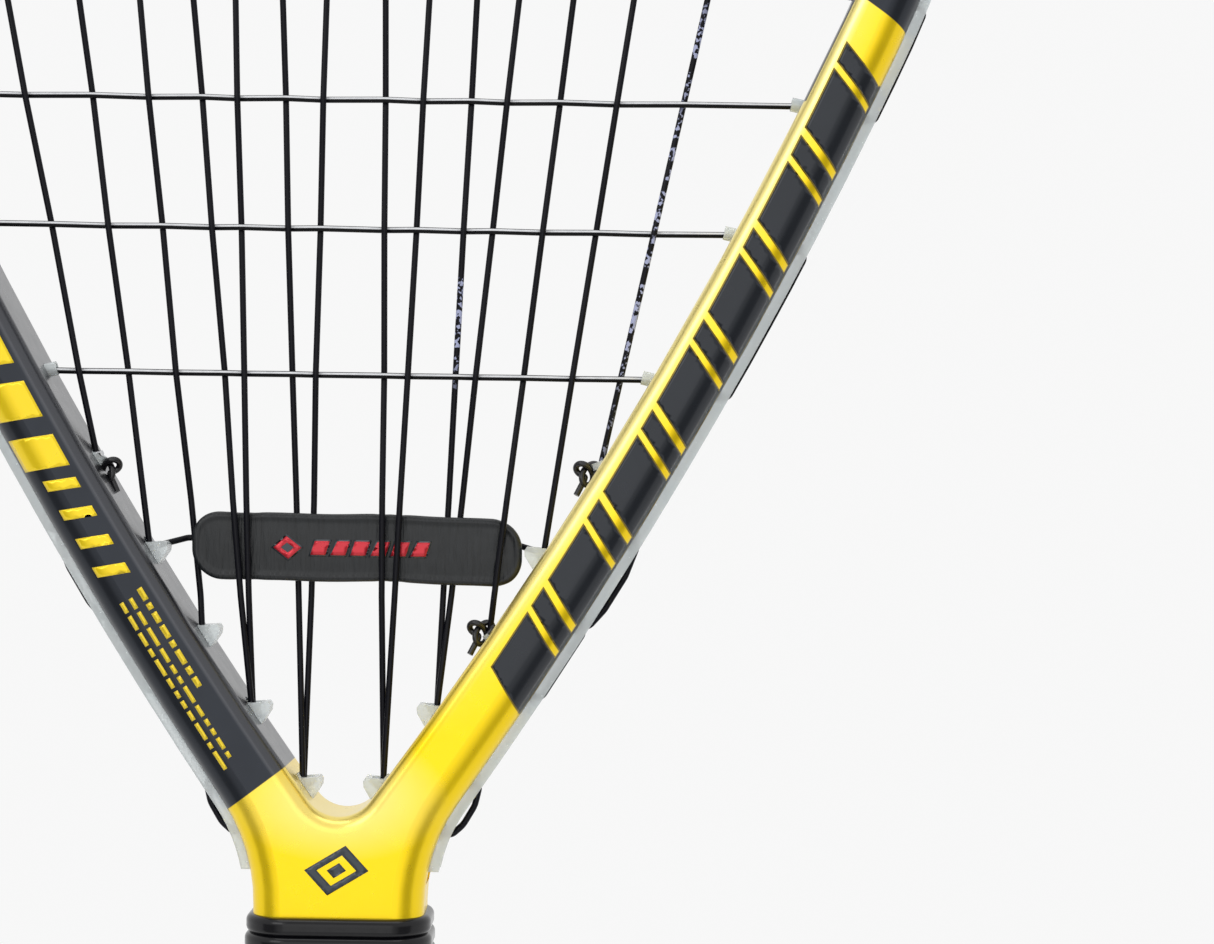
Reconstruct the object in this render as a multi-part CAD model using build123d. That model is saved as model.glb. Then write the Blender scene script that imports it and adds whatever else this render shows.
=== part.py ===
from build123d import *
import math
import os

os.makedirs("parts", exist_ok=True)

# A strung racquetball racket, standing on its butt. +Z runs from the butt to the head,
# the front face looks toward -Y, and the origin is the centre of the butt end.

# Overall
racket_length = 559.0
throat_z = 178.0
frame_depth = 22.0

# Outline of the frame, as half-widths and heights above the butt
neck_half = 16.9
neck_foot_z = 152.0
throat_sweep_z = throat_z + 1.8
throat_sweep_radius = 36.0
outer_foot_lean = 34.5
outer_flare_radius = 967.0
outer_flare_lean = 24.3
outer_half_width = 128.5
crotch_z = throat_z + 19.8
crotch_radius = 7.5
inner_foot_lean = 36.0
inner_flare_radius = 905.0
inner_flare_lean = 24.4
wall_width = 13.0
shoulder_turn = 50.0
outer_fillet = 6.0
inner_fillet = 3.0

# How far cutting shapes run past what they cut, and how far joined shapes overlap
clearing, cut_past, bore_past, overlap = 3.0, 6.0, 2.0, 1.0
half_cut = 40.0
above_all = racket_length + 50.0
on_arc = 0.01

# Hollow inside the frame
inner_wall = 2.0
outer_wall = 3.6
face_wall = 2.0
shaft_wall = 2.0

# Grommet channel round the outside, and what sits in it
channel_depth = 1.2
channel_width = 9.0
strip_width = 8.8
strip_proud = 2.0
bumper_proud = 2.5
strip_tail_z = throat_z + 8.6
channel_tail_z = throat_z + 6.0
guard_foot_z = channel_tail_z - 9.0
bumper_start_z = throat_z + 206.0
strip_gap = 1.5
groove_width = 3.8
groove_floor = 0.7
barrel_radius = 1.4
barrel_bore = 1.0
shared_barrel_radius = 2.15
shared_barrel_bore = 1.6
barrel_fit = 0.1
barrel_stub = 2.0
throat_stub = 0.5

# Funnel tab at a throat barrel's mouth: how far it runs up and down the wall, and into the throat
tab_depth = 5.4
tab_up, tab_down, tab_sink = 1.2, 3.8, 0.05
tab_nose = [(-3.3, 1.3), (-3.8, 0.6), (-3.7, -0.6)]

# Strings
string_radius = 0.625
weave = 0.75
string_lane = 0.75
string_ride = 1.9
loop_shares, loop_nudge = (0.3, 0.7), (0.913, -0.616)
weave_bend, edge_bend, sharp_turn, bend_share = 5.0, 1.6, 0.4, 0.45
mouth_gap, hub_rise = 2.0, 20.0
cross_tail = (-1.5, 0.4)
channel_step = 9.0
knot_turn = 1.36
knot_sides = 8
knot_pitch = 1.35
knot_bend = 0.35
knot_stand = 2.75
knot_drop = 2.6
knot_tail = [(-1.6, -0.9, -3.6), (0.0, -0.9, -0.9)]
cross_count = 19
first_cross_z = throat_z + 107.0
first_cross_gap = 29.2
cross_gap_shrink = 3.3
least_cross_gap = 9.88
hole_turn = 0.45

# Each main: its distance from the racket's axis 132 mm above the collar, and its lean
main_height = throat_z + 132.0
mains = [
    (59.4, 0.212), (48.1, 0.146), (37.6, 0.116), (27.6, 0.098),
    (22.1, 0.042), (12.6, 0.040), (6.5, -0.011),
]
# Throat holes: the mains that share each, and where its outer mouth is, as half-width and height
throat_holes = [
    ((0,), 57.6, 74.0), ((1,), 47.1, 57.3), ((2,), 37.6, 43.4),
    ((3, 4), 26.4, 26.3), ((5, 6), 20.9, 15.6),
]
hole_of_main = [0, 1, 2, 3, 3, 4, 4]

# Knots, by the throat hole and side they sit at
knots = {"knot_left_upper": (0, -1), "knot_right_upper": (0, 1), "knot_right_lower": (2, 1)}

# Dampener bar, woven between the mains just above the throat
bar_length = 66.0
bar_height = 13.6
bar_thickness = 3.0
bar_corner, bar_edge = 4.6, 0.8
bar_centre_x = 2.0
bar_z = throat_z + 72.4
bar_tilt = 0.94
bar_clear = 2.45
tail_reach, tail_step, tail_clear, tail_rise = 4.0, 1.6, 3.9, 1.5
bar_reach = 9.6

# Handle
shaft_width, shaft_depth, shaft_corner = 21.0, 17.0, 4.0
shaft_foot_z = 15.0
pallet_width, pallet_depth, pallet_bevel = 28.3, 23.3, 6.0
pallet_top_z = 151.6
wrap_thickness = 1.6
cap_skirt = 0.8
skirt_bevel = 6.3
cap_flare_z = 14.0
cap_skirt_z = 30.0
cap_width, cap_depth, cap_bevel = 38.5, 33.5, 8.5
# Height, how much narrower than the widest, and how much smaller the bevel
cap_profile = [(0.0, 3.0, 0.5), (2.0, 0.0, 0.0), (8.0, 0.0, 0.0), (cap_flare_z, 3.5, 1.0)]
tether_bore_radius = 3.0
tether_bore_z = 7.5
badge_radius, badge_thickness = 11.0, 1.2
wrap_bevel, wrap_skirt_bevel, wrap_foot_bevel = 7.0, 7.2, 7.6
wrap_over_skirt, wrap_at_foot, wrap_taper, wrap_gap = 1.5, 2.1, 8.0, 0.1
tape_bottom_z, tape_thickness, tape_bevel = 142.0, 0.4, 7.1
plug_gap, plug_height = 0.05, 12.0
collar_foot_z = 150.0
collar_width, collar_narrowing = 37.8, 1.2
collar_depth, collar_thinning = 30.8, 4.4
collar_corner, ridge_round, ridge_lap = 9.0, 1.4, 0.3
collar_ridges = 8
collar_ridge_height = 3.5
staple_crown, staple_wire, staple_leg = 8.0, 0.7, 2.6
staple_x, staple_z = 4.2, 22.0


def save(node, shape):
    """Writes one named piece of the racket."""
    export_step(shape, f"parts/{node}.step")


# ---- outlines -------------------------------------------------------------------

def polar(centre, radius, angle):
    turn = math.radians(angle)
    return (centre[0] + radius * math.cos(turn), centre[1] + radius * math.sin(turn))


def head_arcs(foot, foot_lean, flare_radius, flare_lean, half_width, top):
    """Right half of the hoop, as tangent arcs (centre, radius, from angle, to angle)."""
    flare_centre = polar(foot, -flare_radius, -foot_lean)
    flare_end = polar(flare_centre, flare_radius, -flare_lean)
    side_radius = (half_width - flare_end[0]) / (1 - math.cos(math.radians(flare_lean)))
    side_centre = (half_width - side_radius, polar(flare_end, -side_radius, -flare_lean)[1])
    rise = top - side_centre[1]
    turn = math.radians(shoulder_turn)
    growth = (half_width - rise) / (math.cos(turn) + math.sin(turn) - 1)
    shoulder_radius = rise - growth * (1 - math.sin(turn))
    shoulder_centre = (half_width - shoulder_radius, side_centre[1])
    crown_centre = polar(shoulder_centre, -growth, shoulder_turn)
    return [
        (flare_centre, flare_radius, -foot_lean, -flare_lean),
        (side_centre, side_radius, -flare_lean, 0),
        (shoulder_centre, shoulder_radius, 0, shoulder_turn),
        ((0, crown_centre[1]), shoulder_radius + growth, shoulder_turn, 90),
    ]


outer_top = racket_length - bumper_proud
sweep_centre = (neck_half + throat_sweep_radius, throat_sweep_z)
outer_foot = polar(sweep_centre, throat_sweep_radius, 180 - outer_foot_lean)
outer_arcs = head_arcs(
    outer_foot, outer_foot_lean, outer_flare_radius, outer_flare_lean, outer_half_width, outer_top
)
sweep_arc = (sweep_centre, throat_sweep_radius, 180 - outer_foot_lean, 180)
crotch_centre = (0, crotch_z + crotch_radius)
inner_foot = polar(crotch_centre, crotch_radius, -inner_foot_lean)
inner_arcs = [(crotch_centre, crotch_radius, -90, -inner_foot_lean)] + head_arcs(
    inner_foot, inner_foot_lean, inner_flare_radius, inner_flare_lean,
    outer_half_width - wall_width, outer_top - wall_width,
)


def arc_edges(arcs, grow):
    """The arcs moved outward by grow, as edges."""
    edges = []
    for centre, radius, start, end in arcs:
        edges.append(CenterArc(centre, radius + grow, start, end - start))
    return edges


def closed_face(edges):
    """A face from the right half of its outline and the mirrored left half."""
    half = Curve() + edges
    return Plane.XZ * make_face(half + mirror(half, about=Plane.YZ))


def inner_face(grow=0.0):
    return closed_face(arc_edges(inner_arcs, grow))


def outer_face(grow=0.0, foot_z=neck_foot_z):
    """The outer outline, closed straight across the neck at foot_z."""
    half = neck_half + grow
    sweep = CenterArc(sweep_centre, throat_sweep_radius - grow, 180, -outer_foot_lean)
    neck = [Line((0, foot_z), (half, foot_z)), Line((half, foot_z), (half, throat_sweep_z))]
    return closed_face(neck + [sweep] + arc_edges(outer_arcs, grow))


def meet(arcs, start, direction, grow=0.0):
    """Where a ray from start first meets the arcs moved outward by grow."""
    size = math.hypot(*direction)
    dx, dz = direction[0] / size, direction[1] / size
    best = None
    for centre, radius, first, last in arcs:
        x, z = start[0] - centre[0], start[1] - centre[1]
        along = x * dx + z * dz
        square = along ** 2 - (x * x + z * z - (radius + grow) ** 2)
        if square < 0:
            continue
        for reach in (-along - math.sqrt(square), -along + math.sqrt(square)):
            hit = (start[0] + reach * dx, start[1] + reach * dz)
            angle = math.degrees(math.atan2(hit[1] - centre[1], hit[0] - centre[0]))
            if reach > 1e-6 and first - 1e-6 <= angle <= last + 1e-6:
                if best is None or reach < best[0]:
                    best = (reach, hit)
    return best[1]


def normal_at(arcs, point):
    """Unit vector pointing out of the hoop at a point on its arcs."""
    miss = []
    for centre, radius, first, last in arcs:
        away = (point[0] - centre[0], point[1] - centre[1])
        angle = math.degrees(math.atan2(away[1], away[0]))
        off = 0 if first - 1 <= angle <= last + 1 else 1000
        size = math.hypot(*away)
        miss.append((abs(size - radius) + off, away[0] / size, away[1] / size))
    return min(miss)[1:]


# ---- string holes ---------------------------------------------------------------

class Hole:
    """A string hole: inner mouth, outer mouth, place through the depth, and bore."""

    def __init__(self, inner, outer, lane, shared=False, stub=barrel_stub):
        self.inner = inner
        self.outer = outer
        self.lane = lane
        self.stub = stub
        self.bore = shared_barrel_bore if shared else barrel_bore
        self.radius = shared_barrel_radius if shared else barrel_radius

    def point(self, reach):
        """A point on the hole's axis, reach beyond the outer mouth, or inside it if negative."""
        run = (self.outer[0] - self.inner[0], self.outer[1] - self.inner[1])
        size = math.hypot(*run)
        return (self.outer[0] + run[0] * reach / size, self.outer[1] + run[1] * reach / size)

    def length(self):
        return math.dist(self.inner, self.outer)

    def rod(self, radius, inside, outside, side):
        """A round bar along the hole, from inside the hoop to outside the frame."""
        low = self.point(-self.length() - inside)
        high = self.point(outside)
        axis = Vector(side * (high[0] - low[0]), 0, high[1] - low[1])
        place = Plane((side * low[0], self.lane, low[1]), z_dir=axis)
        return extrude(place * Circle(radius), amount=axis.length)


def hole_through(inner, direction, lane):
    """A hole that leaves along the string and leans part of the way to the frame's normal."""
    size = math.hypot(*direction)
    normal = normal_at(inner_arcs, inner)
    lean = (
        direction[0] / size * (1 - hole_turn) + normal[0] * hole_turn,
        direction[1] / size * (1 - hole_turn) + normal[1] * hole_turn,
    )
    return Hole(inner, meet(outer_arcs, inner, lean), lane)


def main_x(index, z):
    place, lean = mains[index]
    return place + lean * (z - main_height)


cross_heights = [first_cross_z]
for step in range(cross_count - 1):
    gap = max(least_cross_gap, first_cross_gap - cross_gap_shrink * step)
    cross_heights.append(cross_heights[-1] + gap)

foot_holes = []
for sharing, aim_x, aim_z in throat_holes:
    start_x = sum(main_x(index, main_height) for index in sharing) / len(sharing)
    lean = sum(mains[index][1] for index in sharing) / len(sharing)
    inner = meet(inner_arcs, (start_x, main_height), (-lean, -1))
    aim = (aim_x - inner[0], throat_z + aim_z - inner[1])
    outer = meet([sweep_arc] + outer_arcs, inner, aim)
    foot_holes.append(Hole(inner, outer, 0.0, shared=sharing != (2,), stub=throat_stub))

head_holes = []
for index, (place, lean) in enumerate(mains):
    start = (main_x(index, main_height), main_height)
    inner = meet(inner_arcs, start, (lean, 1))
    head_holes.append(hole_through(inner, (lean, 1), string_lane))

cross_holes = []
for z in cross_heights:
    inner = meet(inner_arcs, (0, z), (1, 0))
    cross_holes.append(hole_through(inner, (1, 0), -string_lane))

strip_holes = [hole for hole in foot_holes + cross_holes if hole.outer[1] < bumper_start_z]
bumper_holes = [hole for hole in head_holes + cross_holes if hole.outer[1] >= bumper_start_z]


# ---- frame ----------------------------------------------------------------------

def slab(face, depth):
    return extrude(face, amount=depth / 2, both=True)


def box_between(low, high):
    size = [b - a for a, b in zip(low, high)]
    centre = [(a + b) / 2 for a, b in zip(low, high)]
    return Pos(*centre) * Box(*size)


def rounded_bar(width, depth, corner, low, high):
    """A bar standing along Z with rounded corners."""
    section = Plane.XY.offset(low) * RectangleRounded(width, depth, corner)
    return extrude(section, amount=high - low)


def outline_edges(body, arcs_inside):
    """The front and back edges round the hoop, inner or outer, without the cut at the neck."""
    chosen = []
    for edge in body.edges():
        middle = edge.position_at(0.5)
        if abs(abs(middle.Y) - frame_depth / 2) > on_arc or middle.Z < neck_foot_z + overlap:
            continue
        reach = (abs(middle.X), middle.Z)
        near = min(abs(math.dist(reach, arc[0]) - arc[1]) for arc in inner_arcs)
        if (near < on_arc) == arcs_inside:
            chosen.append(edge)
    return chosen


def make_frame():
    """One hollow moulding: hoop, throat and shaft, with the grommet channel and string holes."""
    body = slab(outer_face() - inner_face(), frame_depth)
    body = fillet(outline_edges(body, False), outer_fillet)
    body = fillet(outline_edges(body, True), inner_fillet)
    shaft = rounded_bar(shaft_width, shaft_depth, shaft_corner, shaft_foot_z, neck_foot_z + clearing)
    hollow_foot = neck_foot_z + face_wall
    hollow = slab(outer_face(-outer_wall, hollow_foot) - inner_face(inner_wall), frame_depth - 2 * face_wall)
    bevel_edges = []
    for edge in hollow.edges():
        middle = edge.position_at(0.5)
        reach = (abs(middle.X), middle.Z)
        near = min(abs(math.dist(reach, arc[0]) - arc[1] - inner_wall) for arc in inner_arcs)
        if near < on_arc and abs(middle.Y) > overlap and middle.Z > hollow_foot + overlap:
            bevel_edges.append(edge)
    hollow = chamfer(bevel_edges, face_wall)
    shaft_hollow = rounded_bar(
        shaft_width - 2 * shaft_wall, shaft_depth - 2 * shaft_wall, shaft_corner - shaft_wall,
        shaft_foot_z, hollow_foot + overlap,
    )
    band = slab(outer_face(strip_proud + clearing) - outer_face(-channel_depth), channel_width)
    reach = racket_length
    channel = band & box_between((-reach, -reach, channel_tail_z), (reach, reach, above_all))
    cuts = [hollow, shaft_hollow, channel]
    for hole in foot_holes + head_holes + cross_holes:
        for side in (1, -1):
            cuts.append(hole.rod(hole.radius + barrel_fit, cut_past, cut_past, side))
    return (body + shaft) - cuts


# ---- grommet strips and bumper ---------------------------------------------------

def guard(holes, sides, proud, low, high):
    """A plastic guard in the channel, with a string groove outside and a barrel for each hole."""
    reach = racket_length
    left, right = (-reach if -1 in sides else 0), (reach if 1 in sides else 0)
    region = box_between((left, -reach, low), (right, reach, high))
    floor = outer_face(-channel_depth, guard_foot_z)
    base = slab(outer_face(proud, guard_foot_z) - floor, strip_width)
    sunk = outer_face(groove_floor, guard_foot_z)
    groove = slab(outer_face(proud + clearing, guard_foot_z) - sunk, groove_width)
    body = (base - groove) & region
    barrels, bores = [], []
    for hole in holes:
        for side in sides:
            barrels.append(hole.rod(hole.radius, hole.stub, 0.0, side))
            bores.append(hole.rod(hole.bore, hole.stub + bore_past, cut_past, side))
            if hole in foot_holes and (foot_holes.index(hole), side) not in knots.values():
                barrels.append(mouth_tab(hole, side))
    body += barrels
    for bore in bores:
        body -= bore
    return body


def mouth_tab(hole, side):
    """The funnel tab that stands in from a throat barrel's mouth."""
    out = normal_at(inner_arcs, hole.inner)
    x, z = hole.inner
    x, z = x - tab_sink * out[0], z - tab_sink * out[1]
    up = (x - tab_up * out[1], z + tab_up * out[0])
    down = (x + tab_down * out[1], z - tab_down * out[0])
    corners = [up] + [(x + a, z + b) for a, b in tab_nose] + [down]
    outline = Polyline(*[(side * a, b) for a, b in corners], close=True)
    return extrude(Plane.XZ * make_face(outline), amount=tab_depth / 2, both=True)


# ---- strings --------------------------------------------------------------------

def swept_string(points):
    """A string through the points, with small bends at the weave and over the hole edges."""
    places = [Vector(*point) for point in points]
    radii = []
    for before, here, after in zip(places, places[1:], places[2:]):
        first, second = here - before, after - here
        turn = math.radians(first.get_angle(second))
        fits = bend_share * min(first.length, second.length) / math.tan(turn / 2)
        radii.append(min(fits, edge_bend if turn > sharp_turn else weave_bend))
    path = FilletPolyline(*places, radius=radii)
    solid = sweep(Plane(path @ 0, z_dir=path % 0) * Circle(string_radius), path=path)
    expected = math.pi * string_radius ** 2 * path.length
    print("string length", round(path.length), "volume ratio", round(solid.volume / expected, 4),
          "smallest bend", round(min(radii), 2))
    return solid


def channel_run(start, end, side, lane_start, lane_end, ride):
    """Points between two holes along the outside of the frame."""
    span = math.dist(start, end)
    count = max(1, math.ceil(span / channel_step))
    hub = (0, (start[1] + end[1]) / 2 + hub_rise)
    if start[0] * end[0] < 0:
        return []
    points = []
    for step in range(1, count):
        share = step / count
        aim = (
            abs(start[0]) + (abs(end[0]) - abs(start[0])) * share - hub[0],
            start[1] + (end[1] - start[1]) * share - hub[1],
        )
        x, z = meet(outer_arcs, hub, aim, ride)
        points.append((side * x, lane_start + (lane_end - lane_start) * share, z))
    return points


def at(flat, lane, side):
    return (side * flat[0], lane, flat[1])


def weave_sign(main, cross, side):
    """Which side of a cross a main passes: -1 in front, +1 behind."""
    column = main if side < 0 else 2 * len(mains) - 1 - main
    return 1 if (column + cross) % 2 else -1


bar_front = {(-1, 3), (-1, 4), (1, 6), (1, 5), (1, 2)}


def main_run(index, side):
    """The points of one main from its throat hole up to its head hole."""
    points = []
    if index >= 2:
        pass_y = -bar_clear if (side, index) in bar_front else bar_clear
        slope = math.tan(math.radians(bar_tilt))
        for end in (-1, 1):
            z = bar_z + end * bar_reach
            z += slope * (side * main_x(index, z) - bar_centre_x)
            points.append((side * main_x(index, z), pass_y, z))
    top = head_holes[index].inner[1]
    for number, z in enumerate(cross_heights):
        if z < top - mouth_gap:
            points.append((side * main_x(index, z), weave * weave_sign(index, number, side), z))
    return points


def foot_lane(index):
    return string_lane if index % 2 == 0 else -string_lane


def foot_points(index, side):
    """Down through the throat hole: inner mouth, then outer mouth."""
    hole = foot_holes[hole_of_main[index]]
    lane = 0.0 if hole_of_main[index] == 2 else foot_lane(index)
    return [at(hole.inner, lane, side), at(hole.point(string_ride), lane, side)]


def head_points(index, side):
    """Up through the head hole: inner mouth, then outer mouth."""
    hole = head_holes[index]
    return [at(hole.inner, hole.lane, side), at(hole.point(string_ride), hole.lane, side)]


def outer_loop(first, second, lane, side):
    """A loop that stands proud of the grommet strip between two throat holes."""
    start, end = first.point(string_ride), second.point(string_ride)
    bulge = []
    for share in loop_shares:
        x = start[0] + (end[0] - start[0]) * share
        z = start[1] + (end[1] - start[1]) * share
        bulge.append(at((x + loop_nudge[0], z + loop_nudge[1]), lane, side))
    return bulge


def half_main_route(side):
    """One half of the main string, from its tied tail to the top of the middle main."""
    tail_z = bar_z + tail_rise
    beside = main_x(2, tail_z)
    route = [(side * (beside - tail_reach), tail_clear, tail_z)]
    route.append((side * (beside + tail_step), tail_clear, tail_z))
    route.append(at(foot_holes[1].inner, string_lane, side))
    route.append(at(foot_holes[1].point(string_ride), string_lane, side))
    route += outer_loop(foot_holes[1], foot_holes[0], string_lane, side)
    route += foot_points(0, side)[::-1]
    route += main_run(0, side)
    route += head_points(0, side)
    route += channel_run(head_points(0, 1)[1][::2], head_points(1, 1)[1][::2], side,
                         string_lane, string_lane, string_ride)
    route += head_points(1, side)[::-1]
    route += main_run(1, side)[::-1]
    route += foot_points(1, side)
    route += foot_points(2, side)[::-1]
    route += main_run(2, side) + head_points(2, side)
    route += head_points(3, side)[::-1] + main_run(3, side)[::-1] + foot_points(3, side)
    route += outer_loop(foot_holes[3], foot_holes[4], foot_lane(3), side)
    route += foot_points(5, side)[::-1] + main_run(5, side) + head_points(5, side)
    route += head_points(4, side)[::-1] + main_run(4, side)[::-1] + foot_points(4, side)
    route += outer_loop(foot_holes[3], foot_holes[4], foot_lane(4), side)
    route += foot_points(6, side)[::-1] + main_run(6, side) + head_points(6, side)
    return route


def cross_run(number):
    """The points of one cross from left to right, over and under the mains."""
    z = cross_heights[number]
    hole = cross_holes[number]
    columns = []
    for side in (-1, 1):
        for index in range(len(mains)):
            if head_holes[index].inner[1] > z + mouth_gap:
                columns.append((side * main_x(index, z), -weave * weave_sign(index, number, side)))
    points = [(x, y, z) for x, y in sorted(columns)]
    first = [at(hole.point(string_ride), -string_lane, -1), at(hole.inner, -string_lane, -1)]
    last = [at(hole.inner, -string_lane, 1), at(hole.point(string_ride), -string_lane, 1)]
    return first + points + last


def cross_route():
    """The cross string from its tail at the outer left main to its end at the head."""
    tail = foot_holes[0]
    cut_end = (tail.inner[0] + cross_tail[0], tail.inner[1] + cross_tail[1])
    route = [at(cut_end, -2 * string_lane, -1), at(tail.inner, -string_lane, -1)]
    route.append(at(tail.point(string_ride), -string_lane, -1))
    low = tail.point(string_ride)
    high = cross_holes[0].point(string_ride)
    route += channel_run(low, high, -1, -string_lane, -string_lane, string_ride)
    for number in range(cross_count):
        run = cross_run(number)
        side = 1
        if number % 2:
            run = run[::-1]
            side = -1
        route += run
        if number < cross_count - 1:
            low = cross_holes[number].point(string_ride)
            high = cross_holes[number + 1].point(string_ride)
            route += channel_run(low, high, side, -string_lane, -string_lane, string_ride)
    return route


def make_knot(hole, side):
    """A hitch of string wound beside a throat hole's mouth, with a short cut tail."""
    out = normal_at(inner_arcs, hole.inner)
    centre = (
        hole.inner[0] - knot_stand * out[0] + knot_drop * out[1],
        hole.inner[1] - knot_stand * out[1] - knot_drop * out[0],
    )
    place = Plane((side * centre[0], 0, centre[1]), x_dir=(0, -1, 0), z_dir=(-side * out[1], 0, out[0]))
    coil = []
    for step in range(knot_sides * 2 + 1):
        turn = 2 * math.pi * step / knot_sides
        spot = (knot_turn * math.cos(turn), knot_turn * math.sin(turn), knot_pitch * step / knot_sides)
        coil.append(place.from_local_coords(spot))
    start = coil[0]
    tail = [start + Vector(side * x, y, z) for x, y, z in knot_tail]
    path = FilletPolyline(*tail, *coil[1:], radius=knot_bend)
    return sweep(Plane(path @ 0, z_dir=path % 0) * Circle(string_radius), path=path)


# ---- handle ---------------------------------------------------------------------

def octagon(width, depth, bevel):
    """An octagonal handle section, centred."""
    x, y = width / 2, depth / 2
    corners = [
        (x, y - bevel), (x - bevel, y), (bevel - x, y), (-x, y - bevel),
        (-x, bevel - y), (bevel - x, -y), (x - bevel, -y), (x, bevel - y),
    ]
    return make_face(Polyline(*corners, close=True))


def octagon_bar(width, depth, bevel, low, high):
    return extrude(Plane.XY.offset(low) * octagon(width, depth, bevel), amount=high - low)


def octagon_loft(*stations):
    """Lofts octagons given as (z, width, depth, bevel)."""
    sections = []
    for z, width, depth, bevel in stations:
        sections.append(Plane.XY.offset(z) * octagon(width, depth, bevel))
    return loft(Sketch() + sections, ruled=True)


def make_staples():
    """Four wire staples through the cap's skirt into the pallets."""
    surface = pallet_depth / 2 + cap_skirt
    staples = []
    for side in (1, -1):
        for x in (-staple_x, staple_x):
            crown = Box(staple_crown, staple_wire, staple_wire)
            body = Pos(x, side * (surface - staple_wire / 2), staple_z) * crown
            for end in (-1, 1):
                leg = Box(staple_wire, staple_leg, staple_wire)
                spot = x + end * (staple_crown - staple_wire) / 2
                body += Pos(spot, side * (surface - staple_leg / 2), staple_z) * leg
            staples.append(body)
    return staples


def make_pallets(staples):
    block = octagon_bar(pallet_width, pallet_depth, pallet_bevel, shaft_foot_z, pallet_top_z)
    block -= rounded_bar(shaft_width, shaft_depth, shaft_corner, 0, pallet_top_z + overlap)
    block -= staples
    halves = []
    for low, high in ((-half_cut, 0), (0, half_cut)):
        halves.append(block & box_between((-half_cut, low, 0), (half_cut, high, above_all)))
    return halves


def make_butt_cap(staples):
    """Flared cap with a skirt round the pallets, a cross bore for a wrist cord and a badge seat."""
    stations = []
    for z, narrowing, bevel_cut in cap_profile:
        stations.append((z, cap_width - narrowing, cap_depth - narrowing, cap_bevel - bevel_cut))
    cap = octagon_loft(*stations)
    skirt_width, skirt_depth = pallet_width + 2 * cap_skirt, pallet_depth + 2 * cap_skirt
    cap += octagon_bar(skirt_width, skirt_depth, skirt_bevel, cap_flare_z - overlap, cap_skirt_z)
    cap -= octagon_bar(pallet_width, pallet_depth, pallet_bevel, shaft_foot_z, cap_skirt_z + overlap)
    bore = Cylinder(tether_bore_radius, cap_depth + cut_past)
    cap -= Pos(0, 0, tether_bore_z) * Rot(90, 0, 0) * bore
    cap -= Pos(0, 0, badge_thickness / 2) * Cylinder(badge_radius, badge_thickness)
    return cap - staples


def make_wrap():
    """The wound grip as one sleeve, flaring over the cap's skirt."""
    stations = []
    for z, over, bevel in (
        (cap_flare_z + wrap_gap, cap_skirt + wrap_at_foot, wrap_foot_bevel),
        (cap_skirt_z, cap_skirt + wrap_over_skirt, wrap_skirt_bevel),
        (cap_skirt_z + wrap_taper, wrap_thickness, wrap_bevel),
        (pallet_top_z, wrap_thickness, wrap_bevel),
    ):
        stations.append((z, pallet_width + 2 * over, pallet_depth + 2 * over, bevel))
    outer = octagon_loft(*stations)
    outer -= octagon_bar(pallet_width, pallet_depth, pallet_bevel, 0, pallet_top_z + overlap)
    skirt_width, skirt_depth = pallet_width + 2 * cap_skirt, pallet_depth + 2 * cap_skirt
    return outer - octagon_bar(skirt_width, skirt_depth, skirt_bevel, 0, cap_skirt_z)


wrap_width = pallet_width + 2 * wrap_thickness
wrap_depth = pallet_depth + 2 * wrap_thickness
tape_width = wrap_width + 2 * tape_thickness
tape_depth = wrap_depth + 2 * tape_thickness


def make_tape():
    body = octagon_bar(tape_width, tape_depth, tape_bevel, tape_bottom_z, pallet_top_z)
    return body - octagon_bar(wrap_width, wrap_depth, wrap_bevel, 0, racket_length)


def make_plug():
    """Foam plug in the foot of the hollow shaft."""
    width, depth = [size - 2 * (shaft_wall + plug_gap) for size in (shaft_width, shaft_depth)]
    return rounded_bar(width, depth, shaft_corner - shaft_wall, shaft_foot_z, shaft_foot_z + plug_height)


def make_collar():
    """Ridged rubber collar over the neck and the top of the wound grip."""
    body = None
    for ridge in range(collar_ridges):
        share = ridge / (collar_ridges - 1)
        width = collar_width - collar_narrowing * share ** 3
        depth = collar_depth - collar_thinning * share
        low = collar_foot_z + ridge * collar_ridge_height
        bar = rounded_bar(width, depth, collar_corner, low, low + collar_ridge_height + ridge_lap)
        ends = bar.faces().sort_by(Axis.Z)
        rounded = fillet(ends[0].edges() + ends[-1].edges(), ridge_round)
        body = rounded if body is None else body + rounded
    body -= octagon_bar(tape_width, tape_depth, tape_bevel, 0, neck_foot_z)
    neck = slab(outer_face() - inner_face(), frame_depth)
    neck = fillet(outline_edges(neck, False), outer_fillet)
    return body - neck


def make_bar():
    """Soft bar with rounded ends, woven through the mains."""
    face = Plane.XZ * RectangleRounded(bar_length, bar_height, bar_corner)
    bar = extrude(face, amount=bar_thickness / 2, both=True)
    bar = fillet(bar.edges().filter_by(lambda e: abs(e.position_at(0.5).Y) > overlap), bar_edge)
    return Pos(bar_centre_x, 0, bar_z) * Rot(0, -bar_tilt, 0) * bar


# ---- the parts ------------------------------------------------------------------

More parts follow.
